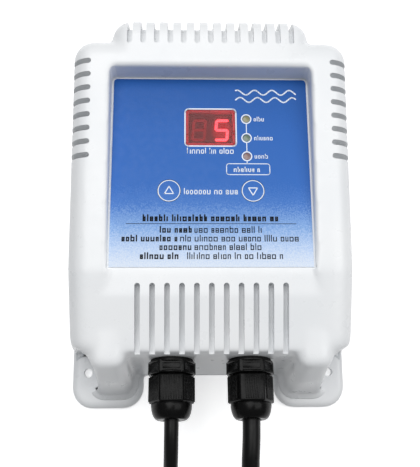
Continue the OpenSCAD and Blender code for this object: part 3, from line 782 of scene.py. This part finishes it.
def plateSlab(x0, x1, y0, y1):
    bm = bmesh.new()
    ear = plateShape["ear"]
    addRoundSlab(bm, x0, x1, y0, y1, ear, -6, plateT - 2.2)
    addRoundSlab(bm, x0 + 0.9, x1 - 0.9, y0 + 0.9, y1 - 0.9, ear - 0.9, plateT - 3, plateT - 0.9)
    addRoundSlab(bm, x0 + 2.6, x1 - 2.6, y0 + 2.6, y1 - 2.6, ear - 2.6, plateT - 3, plateT)
    wrap(bm)
    return toObject(bm, "plate_slab")


def plateRoom():
    # the sunk floor inside the cover's foot, with the power board's and the transformer's posts
    bm = bmesh.new()
    addRoundSlab(bm, -halfW + 4.1, halfW - 4.1, wallY + 3.1, shoulderY - 3.1, 8, 3, 12)
    wrap(bm)
    room = toObject(bm, "plate_room")
    bm = bmesh.new()
    board = centreOf("power_board")
    core = centreOf("transformer_core")
    for side in (-1, 1):
        for y in bossYs:
            addRod(bm, (side * bossX, y, 0), 6, 12)
        addRod(bm, (side * (halfW - 9), earY + 20, 0), 13.5, 12)
        addTube(bm, 1.8, 4, 0, 10, Matrix.Translation((side * 39, core.y, 0)), 32)
        for end in (-1, 1):
            post = Matrix.Translation((side * 51, board.y + end * 25, 0))
            addTube(bm, 1.35, 3.5, 0, 11, post, 32)
    carve(room, toObject(bm, "plate_posts"))
    return room


def plateHoles():
    bm = bmesh.new()
    for side in (-1, 1):
        for y in (earY + 20, topY - 11):
            addRod(bm, (side * (halfW - 9), y, -1), 2.5, 12)
        for y in bossYs:
            addLathe(bm, [(0, -1), (3.9, -1), (3.9, 2.6), (2.05, 2.6), (2.05, 20), (0, 20)],
                     Matrix.Translation((side * bossX, y, 0)))
    return toObject(bm, "plate_holes")


def makePlate():
    plate = plateSlab(-halfW, halfW, wallY - 0.5, topY)
    for side in (-1, 1):
        x0, x1 = sorted((side * (halfW - 41), side * halfW))
        carve(plate, plateSlab(x0, x1, earY, wallY + 30), "UNION")
    remesh(plate, plateShape["voxel"])
    soften(plate, plateShape["soft"])
    thin(plate, plateShape["triangles"])
    cutFlat(plate, 0)
    carve(plate, plateRoom())
    carve(plate, plateHoles())
    plate.name = "back_plate"
    return finishPiece(plate, looks["shell"], replaces=["base_plate"], smoothDeg=50)


makePlate()
print("back plate made")


# glands: a seal ring, a hexagon body with sunk panels, and a ribbed cap with a rounded nose

glandShape = {
    "bodyFlats": 22,
    "panel": 0.35,             # how far a panel is sunk
    "ribW": 0.75,
    "ribHigh": 0.55,
    "noseLong": 8.4,
}
glandKinds = (
    {"node": "mains", "side": "left", "bore": 4.05, "capFlats": 20.8, "ribs": 9, "ribPitch": 1.3},
    {"node": "cell", "side": "right", "bore": 4.95, "capFlats": 21.4, "ribs": 6, "ribPitch": 1.2},
)


def glandBody(kind, matrix):
    flats = glandShape["bodyFlats"]
    bm = bmesh.new()
    addHexagon(bm, flats, 1.2, 7.8, 0.5)
    body = toObject(bm, "gland_hexagon")
    bore = bmesh.new()
    addRod(bore, (0, 0, -12), 8, 60)
    carve(body, toObject(bore, "bore"))
    bm = bmesh.new()
    bm.from_mesh(body.data)
    bpy.data.objects.remove(body)
    throat = kind["bore"] + 1.1
    addLathe(bm, [(9.3, -9.5), (9.3, 1), (12, 1.2), (12.3, 1.5), (12.3, 2), (11.8, 2.4), (9, 2.5),
                  (9, 16), (7.4, 16), (7.4, 11.95), (throat, 11.95), (throat, -9.5)], closed=True)
    addLathe(bm, [(9, 6.9), (12, 7), (12.2, 7.3), (12.2, 7.9), (11.8, 8.2), (9, 8.3)], closed=True)
    piece = toObject(bm, "gland_body")
    tools = bmesh.new()
    for k in range(6):
        turn = Matrix.Rotation(k * math.pi / 3, 4, "Z")
        floor = flats / 2 - glandShape["panel"]
        addSoftBlock(tools, (-4.6, floor, 3.1), (4.6, flats / 2 + 2, 6.3), 0.25, turn)
    carve(piece, toObject(tools, "panels"), crossed=True)
    piece.data.transform(matrix)
    piece.name = "gland_body_" + kind["side"]
    return finishPiece(piece, looks["nylon"], replaces=[kind["node"] + "_gland_body"])


def glandCap(kind, matrix):
    flats = kind["capFlats"]
    half = glandShape["ribW"] / 2
    bm = bmesh.new()
    addHexagon(bm, flats, 8.5, 22.8, 0.9)
    for k in range(6):
        turn = Matrix.Rotation(k * math.pi / 3, 4, "Z")
        for rib in range(kind["ribs"]):
            x = (rib - (kind["ribs"] - 1) / 2) * kind["ribPitch"]
            top = flats / 2 + glandShape["ribHigh"]
            addSoftBlock(bm, (x - half, flats / 2 - 1, 9.2), (x + half, top, 21.6), 0.2, turn)
    rise = glandShape["noseLong"] - 0.6
    nose = [(kind["bore"], 20), (9.6, 20), (10.2, 22.4)]
    for k in range(10):
        angle = math.radians(k * 10)
        nose.append((7 + 3.7 * math.cos(angle), 23.2 + rise * math.sin(angle)))
    nose += [(kind["bore"] + 0.5, 30.9), (kind["bore"], 30.5)]
    addLathe(bm, nose, closed=True, steps=72)
    piece = toObject(bm, "gland_cap")
    bore = bmesh.new()
    addLathe(bore, [(0, 5), (9.1, 5), (9.1, 17), (7.4, 17), (7.4, 23), (kind["bore"], 23),
                    (kind["bore"], 40), (0, 40)])
    carve(piece, toObject(bore, "bore"), crossed=True)
    piece.data.transform(matrix)
    piece.name = "gland_cap_" + kind["side"]
    return finishPiece(piece, looks["nylon"], replaces=[kind["node"] + "_gland_cap"])


for kind, matrix in zip(glandKinds, glandFrames):
    glandBody(kind, matrix)
    glandCap(kind, matrix)
print("glands made")


# label print: lines, rings and made-up lettering, a hair above the label's face

inkLow = -0.05
inkHigh = 0.04
inkShape = {
    "lineW": 0.45,
    "ringR": 2.55,
    "boxLow": (8.4, -2.7),
    "boxHigh": (31.6, 3.5),
    "keyRing": 5.75,
}
waveShape = {"count": 2, "x": 14, "y": 41, "step": 1.1, "points": 31, "apart": 4.4, "high": 1.5,
             "turn": 0.72, "width": 0.8}
# from x, to x, height on the label, letters' height and weight
whiteRows = (
    (-12.8, 13.9, 9.2, 3.4, 0.45),       # under the window
    (-14.4, 14.2, -13.8, 3.5, 0.48),     # between the keys
    (23.6, 29.6, lampYs[0] - 1.3, 2.7, 0.4),
    (23.6, 35.4, lampYs[1] - 1.3, 2.7, 0.4),
    (23.6, 31.8, lampYs[2] - 1.3, 2.7, 0.4),
    (12.2, 27.8, -1.2, 2.9, 0.5),        # in the box below the lamps
)
# half length, height on the label and weight of the bold beginning
darkRows = ((27, -34.9, 0.72), (46.7, -39.6, 0.7), (27, -44.2, 0.62), (37, -49, 0.72))
rolls = random.Random(7)


def addStroke(bm, start, end, width, low=inkLow, high=inkHigh):
    part = bmesh.new()
    for x, y in (start, end):
        addRod(part, (x, y, low), width / 2, high - low, sides=12)
    wrap(part)
    join(bm, part)


def addLine(bm, points, width, closed=False):
    for start, end in zip(points, points[1:] + (points[:1] if closed else [])):
        addStroke(bm, start, end, width)


def addRoundFrame(bm, low, high, radius, width):
    points = []
    x0, x1 = low[0] + radius, high[0] - radius
    y0, y1 = low[1] + radius, high[1] - radius
    for corner, (x, y) in enumerate(((x1, y1), (x0, y1), (x0, y0), (x1, y0))):
        for step in range(5):
            angle = math.radians(corner * 90 + step * 22.5)
            points.append((x + radius * math.cos(angle), y + radius * math.sin(angle)))
    addLine(bm, points, width, True)


def addInkRing(bm, x, y, radius, width):
    place = Matrix.Translation((x, y, 0))
    addTube(bm, radius - width / 2, radius + width / 2, inkLow, inkHigh, place, 48)


def addLetter(bm, x, y, wide, tall, weight):
    low = y + tall * 0.7
    kind = rolls.choice("ongldutseo")
    if kind == "l":
        wide = weight
    bars = []
    if kind != "l":
        bars.append((x, y, x + weight, low))
        bars.append((x + wide - weight, y, x + wide, low))
    if kind in "ongdse":
        bars.append((x, low - weight, x + wide, low))
    if kind in "ogdusel":
        bars.append((x, y, x + (weight if kind == "l" else wide), y + weight))
    if kind in "se":
        bars.append((x, y + tall * 0.35 - weight / 2, x + wide, y + tall * 0.35 + weight / 2))
    if kind in "ldt":
        bars.append((x, y, x + weight, y + tall))
    for x0, y0, x1, y1 in bars:
        addBlock(bm, (x0, y0, inkLow), (x1, y1, inkHigh))
    return wide


def addWords(bm, x0, x1, y, tall, weight):
    x = x0
    left = rolls.randint(3, 7)
    while x < x1 - tall * 0.4:
        wide = min(tall * rolls.uniform(0.42, 0.6), x1 - x)
        x += addLetter(bm, x, y, wide, tall, weight) + tall * 0.17
        left -= 1
        if left == 0:
            x += tall * 0.38
            left = rolls.randint(2, 8)


def placeOnLabel(bm, name, look, body="box"):
    piece = toObject(bm, name, merge=False)
    piece.data.transform(labelFrame)
    return finishPiece(piece, looks[look], body)


def makeWhitePrint():
    bm = bmesh.new()
    line = inkShape["lineW"]
    addRoundFrame(bm, (-13.9, windowY - 10.9), (13.9, windowY + 10.9), 1.9, 0.7)
    for y in lampYs:
        addInkRing(bm, lampX, y, inkShape["ringR"], 0.6)
    for above, below in ((lampYs[0], lampYs[1]), (lampYs[1], lampYs[2])):
        addStroke(bm, (lampX, above - 3), (lampX, below + 3), line)
    addStroke(bm, (lampX, lampYs[2] - 3), (lampX, inkShape["boxHigh"][1]), line)
    addRoundFrame(bm, inkShape["boxLow"], inkShape["boxHigh"], 1.3, line)
    for row in whiteRows:
        addWords(bm, *row)
    for wave in range(waveShape["count"]):
        points = []
        for k in range(waveShape["points"]):
            swing = math.sin(k * waveShape["turn"] + wave)
            lift = wave * waveShape["apart"] + waveShape["high"] * swing
            points.append((waveShape["x"] + k * waveShape["step"], waveShape["y"] + lift))
        addLine(bm, points, waveShape["width"])
    placeOnLabel(bm, "print_white", "inkWhite")


def makeDarkPrint():
    bm = bmesh.new()
    addWords(bm, -36, 36.4, -28.7, 3.8, 0.8)
    addStroke(bm, (-44.5, -30), (44.5, -30), 0.3)
    for half, y, bold in darkRows:
        split = -half + half * 0.62
        addWords(bm, -half, split, y, 3.6, bold)
        addWords(bm, split + 1.4, half, y, 3.6, 0.5)
    placeOnLabel(bm, "print_dark", "inkDark")


def makeKeyPrint(name, side):
    bm = bmesh.new()
    addInkRing(bm, side * keyX, keyY, inkShape["keyRing"], inkShape["lineW"])
    points = []
    for corner in range(3):
        angle = math.radians(corner * 120 - side * 90)      # up on the left key, down on the right
        points.append((side * keyX + 2.75 * math.cos(angle),
                       keyY + side * 0.25 + 2.75 * math.sin(angle)))
    addLine(bm, points, 0.55, True)
    placeOnLabel(bm, "print_" + name, "inkWhite", name + "_button")


makeWhitePrint()
makeDarkPrint()
makeKeyPrint("key_up", -1)
makeKeyPrint("key_down", 1)
print("label print made")


# display: a red window over two figures, the right one lit, and three lamp lenses

def addFigure(bm, x, strokes):
    wide = figureShape["halfW"]
    tall = figureShape["halfH"]
    inset = figureShape["stroke"] * 0.45
    lines = {
        "top": ((inset - wide, tall), (wide - inset, tall)),
        "middle": ((inset - wide, 0), (wide - inset, 0)),
        "bottom": ((inset - wide, -tall), (wide - inset, -tall)),
        "leftHigh": ((-wide, tall - inset), (-wide, inset)),
        "rightHigh": ((wide, tall - inset), (wide, inset)),
        "leftLow": ((-wide, -inset), (-wide, inset - tall)),
        "rightLow": ((wide, -inset), (wide, inset - tall)),
    }
    slant = math.tan(math.radians(figureShape["slantDeg"]))
    foot = windowY + figureShape["y"]
    for stroke in strokes:
        start, end = ((x + along + up * slant, foot + up) for along, up in lines[stroke])
        addStroke(bm, start, end, figureShape["stroke"], -3.7, -3.3)


def makeDisplay():
    # the module's body, in a material with a painted glow
    body = bmesh.new()
    addSoftBlock(body, (-12.5, windowY - 9.5, -11.4), (12.5, windowY + 9.5, -3.4), 0.3)
    piece = placeOnLabel(body, "display_body_painted_glow", "display")
    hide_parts("display_module")
    lit = bmesh.new()
    addFigure(lit, figureShape["x"], ("top", "leftHigh", "middle", "rightLow", "bottom"))
    piece = placeOnLabel(lit, "figures_lit", "lit")
    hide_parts("display_digits")
    # the unlit figure, in a material with a weak painted glow
    unlit = bmesh.new()
    addFigure(unlit, -figureShape["x"],
              ("top", "middle", "bottom", "leftHigh", "rightHigh", "leftLow", "rightLow"))
    placeOnLabel(unlit, "figures_unlit", "unlitPaintedGlow")
    # strips under the glass's rims, in the display body's material with its painted glow
    mask = bmesh.new()
    for side in (1, -1):
        y = windowY + side * 9.9
        addBlock(mask, (-13.2, y - 0.4, -0.8), (13.2, y + 0.4, -0.61))
        x = side * 12.5
        addBlock(mask, (x - 0.75, windowY - 3.68, -0.8), (x + 0.75, windowY + 3.68, -0.61))
    placeOnLabel(mask, "window_mask", "display")
    window = bmesh.new()
    addRoundSlab(window, -13.4, 13.4, windowY - 10.4, windowY + 10.4, 1.4, -0.6, -0.02)
    wrap(window)
    piece = placeOnLabel(window, "window_red", "glass")
    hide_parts("display_filter")
    lenses = bmesh.new()
    for y in lampYs:
        addLathe(lenses, [(0, -0.6), (2.03, -0.6), (2.03, -0.2), (1.7, -0.08), (0.9, -0.02), (0, 0)],
                 Matrix.Translation((lampX, y, 0)), steps=32)
    piece = placeOnLabel(lenses, "lamp_lenses", "lens")
    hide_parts("led_windows")


makeDisplay()
print("display made")


# coil ties: a flat band round each coil's turns, twice

tieShape = {"gap": 0.15, "thick": 0.7, "halfW": 2.5, "corner": 2.2}


def makeTie(name, cord, angleDeg):
    reach = cord["turns"] / coilLayers * cord["radius"] + cord["radius"]
    low = (cord["middle"] - reach) / mm - tieShape["gap"]
    high = (cord["middle"] + reach) / mm + tieShape["gap"]
    top = 2 * coilLayers * cord["radius"] / mm + tieShape["gap"]
    thick = tieShape["thick"]
    bm = bmesh.new()
    addRoundSlab(bm, low - thick, high + thick, 0.02, top + thick, tieShape["corner"],
                 -tieShape["halfW"], tieShape["halfW"])
    wrap(bm)
    band = toObject(bm, name)
    bm = bmesh.new()
    addRoundSlab(bm, low, high, 0.6, top, 1.6, -4, 4)
    wrap(bm)
    carve(band, toObject(bm, "tie_room"))
    angle = math.radians(angleDeg)
    out = Vector((math.cos(angle), math.sin(angle), 0))
    turn = Matrix((out, Vector((0, 0, 1)), out.cross(Vector((0, 0, 1))))).transposed().to_4x4()
    centre = Vector((*cord["centre"], 0)) / mm
    band.data.transform(Matrix.Translation(centre) @ turn)
    return finishPiece(band, looks["rubber"])


# mains plug: a grip with cross ridges, and a ribbed strain relief that runs back over the cord

plugShape = {"ridges": 5, "ridgePitch": 3, "reliefBack": 12, "voxel": 0.6, "soft": 4}
gripSlabs = ((15, 18, 8.3, 6), (24, 26, 9.6, 6), (31, 33.2, 10.6, 6), (33, 34, 9.9, 5.5))


def reliefRibs(z, ribs, pitch, wide, widen, long, deep):
    # rings of a strain relief from its thin end, each followed by a dip
    profile = []
    for k in range(ribs):
        low = z + k * pitch
        reach = wide + k * widen
        profile += [(reach, low), (reach, low + long), (reach - deep, low + long + 0.5),
                    (reach - deep, low + pitch - 0.5)]
    return profile


def makePlug():
    low, high = mmBox("plug_body")
    turn = Matrix.Rotation(math.pi / 2, 4, "Y")
    matrix = Matrix.Translation((low.x, (low.y + high.y) / 2, 12)) @ turn
    bm = bmesh.new()
    for z0, z1, half, radius in gripSlabs:
        addRoundSlab(bm, -half, half, -half, half, radius, z0, z1)
    wrap(bm)
    for k in range(plugShape["ridges"]):
        z = 18 + k * plugShape["ridgePitch"]
        for side in (-1, 1):
            reach = 8.6 + k * 0.32
            addSoftBlock(bm, (-5, side * reach - 0.9, z - 0.8), (5, side * reach + 0.9, z + 0.8), 0.4)
    profile = [(4, -plugShape["reliefBack"]), (5.2, -plugShape["reliefBack"])]
    profile += reliefRibs(-10, 7, 3.6, 5.3, 0.5, 1.5, 0.8)
    profile += [(8.4, 17), (4, 17)]
    addLathe(bm, profile, closed=True, steps=48)
    plug = toObject(bm, "plug_grip")
    remesh(plug, plugShape["voxel"])
    soften(plug, plugShape["soft"], 0.4)
    plug.data.transform(matrix)
    return finishPiece(plug, looks["jacket"], replaces=["plug_body"], smoothDeg=60)


# drop-in cell: ribbed relief, a grip head, and a cage with six windows

cellShape = {"radius": 17, "reliefEnd": 10, "headEnd": 32, "cageEnd": 82, "grips": 20, "windows": 6}
# where the cable ends, with z on along the cell
cellFrame = Matrix.Translation((62, -296, 17)) @ Matrix.Rotation(math.pi / 2, 4, "X")


def makeCellRelief():
    bm = bmesh.new()
    end = cellShape["reliefEnd"]
    profile = [(4.75, -6), (5.6, -6)]
    profile += reliefRibs(-5.6, 4, 3.8, 6, 0.65, 1.6, 0.9)
    profile += [(8, end - 0.3), (8, end), (4.75, end)]
    addLathe(bm, profile, closed=True, steps=48)
    relief = toObject(bm, "cell_relief")
    relief.data.transform(cellFrame)
    return finishPiece(relief, looks["rubber"], replaces=["cell_strain_relief"])


def makeCellHead():
    radius = cellShape["radius"]
    low = cellShape["reliefEnd"]
    high = cellShape["headEnd"]
    bm = bmesh.new()
    addLathe(bm, [(0, low), (9, low), (13, low + 0.6), (15.6, low + 2.6), (16, low + 4),
                  (16, high - 3.4), (radius, high - 2.8), (radius, high - 0.4),
                  (radius - 0.4, high), (0, high)], steps=96)
    for k in range(cellShape["grips"]):
        turn = Matrix.Rotation(k * math.tau / cellShape["grips"], 4, "Z")
        addSoftBlock(bm, (15, -1.1, low + 4), (radius - 0.15, 1.1, high - 4), 0.5, turn)
    head = toObject(bm, "cell_head_grip")
    head.data.transform(cellFrame)
    return finishPiece(head, looks["cell"], replaces=["cell_head"])


def makeCage():
    radius = cellShape["radius"]
    low = cellShape["headEnd"]
    high = cellShape["cageEnd"]
    bm = bmesh.new()
    addLathe(bm, [(0, high - 3), (15, high - 3), (15, low), (radius - 0.4, low), (radius, low + 0.4),
                  (radius, high - 1.6), (16.4, high - 0.6), (15.2, high), (0, high)], steps=96)
    cage = toObject(bm, "cell_cage_shell")
    tools = bmesh.new()
    for k in range(cellShape["windows"]):
        window = bmesh.new()
        turn = Matrix.Rotation(math.radians(k * 60 + 30), 4, "Z")
        across = turn @ Matrix.Rotation(math.pi / 2, 4, "Y")
        for z in (low + 11, high - 13):
            addRod(window, (-z, 0, 10), 3.9, 12, sides=24)
        wrap(window)
        join(tools, window, across)
    carve(cage, toObject(tools, "windows"))
    cage.data.transform(cellFrame)
    return finishPiece(cage, looks["cell"], replaces=["cell_cage"])


mainsPiece.data.materials.append(looks["jacket"])
cellPiece.data.materials.append(looks["jacket"])
mainsTies = [makeTie("mains_tie_a", mainsCord, 20), makeTie("mains_tie_b", mainsCord, 120)]
cellTies = [makeTie("cell_tie_a", cellCable, 150), makeTie("cell_tie_b", cellCable, 290)]
makePlug()
makeCellRelief()
makeCellHead()
makeCage()
print("plug and cell made")


# the CAD nodes whose shape stays: a material each, and a small bevel on the square-edged ones

nodeLooks = {
    "label": ("label_panel", "key_up", "key_down"),
    "silicone": ("cover_gasket",),
    "steel": ("cover_screws", "control_board_screws", "power_board_screws", "transformer_bracket",
              "transformer_screws"),
    "switch": ("plunger_up", "plunger_down", "tact_switches", "smoothing_capacitor"),
    "bulb": ("led_low", "led_normal", "led_high"),
    "board": ("control_board", "power_board"),
    "chip": ("microcontroller", "bridge_rectifier"),
    "header": ("ribbon_headers",),
    "ribbon": ("ribbon_cable",),
    "sink": ("heat_sink",),
    "relay": ("relay_forward", "relay_reverse"),
    "clip": ("fuse_holder", "fuse"),
    "terminal": ("mains_terminal", "cell_terminal"),
    "core": ("transformer_core",),
    "tape": ("transformer_winding",),
    "nylon": ("mains_gland_locknut", "cell_gland_locknut"),
    "rubber": ("mains_gland_gasket", "mains_gland_seal", "cell_gland_gasket", "cell_gland_seal"),
    "brownWire": ("mains_wires",),
    "redWire": ("cell_wires",),
    "brass": ("plug_blades",),
    "titanium": ("cell_plates",),
}
bevelled = ("relay_forward", "relay_reverse", "mains_terminal", "cell_terminal", "microcontroller",
            "bridge_rectifier", "ribbon_headers", "transformer_winding", "plug_blades", "heat_sink",
            "tact_switches")
for look, names in nodeLooks.items():
    for name in names:
        materials = frame["nodes"][name].data.materials
        materials.clear()
        materials.append(looks[look])
for name in bevelled:
    change = frame["nodes"][name].modifiers.new("edges", "BEVEL")
    change.width = 0.25 * mm
    change.segments = 2
    change.limit_method = "ANGLE"
print("inner parts given their materials")


# studio

studio = {
    "floorHalf": 6.0,
    "sky": 0.28,
    "key": {"place": (-0.25, 0.4, 1.5), "size": 1.1, "power": 13.6},
    "fill": {"place": (0.85, 0.15, 1.25), "size": 1.0, "power": 8},
}


def makeStudio():
    bm = bmesh.new()
    bmesh.ops.create_grid(bm, x_segments=2, y_segments=2, size=studio["floorHalf"])
    mesh = bpy.data.meshes.new("floor")
    bm.to_mesh(mesh)
    bm.free()
    floor = bpy.data.objects.new("floor", mesh)
    scene.collection.objects.link(floor)
    paper = surface("floor_paper", srgb(253, 253, 253), srgb(249, 249, 250),
                    (0.8, 0.95), 300, 0.00005, patch=4,
                    Emission_Color=(1, 1, 1, 1), Emission_Strength=0.5)
    floor.data.materials.append(paper)
    floor.visible_diffuse = False
    world = bpy.data.worlds.new("studio")
    scene.world = world
    world.use_nodes = True
    sky = world.node_tree.nodes["Background"]
    sky.inputs["Color"].default_value = (0.95, 0.975, 1.0, 1)
    sky.inputs["Strength"].default_value = studio["sky"]
    for name in ("key", "fill"):
        light = bpy.data.lights.new(name, "AREA")
        light.size = studio[name]["size"]
        light.energy = studio[name]["power"]
        holder = bpy.data.objects.new(name, light)
        scene.collection.objects.link(holder)
        holder.location = studio[name]["place"]
        aim = Vector((0, 0, 0.03)) - holder.location
        holder.rotation_euler = aim.to_track_quat("-Z", "Y").to_euler()
    scene.view_settings.view_transform = "Standard"


makeStudio()
print("studio made")

bpy.context.view_layer.update()
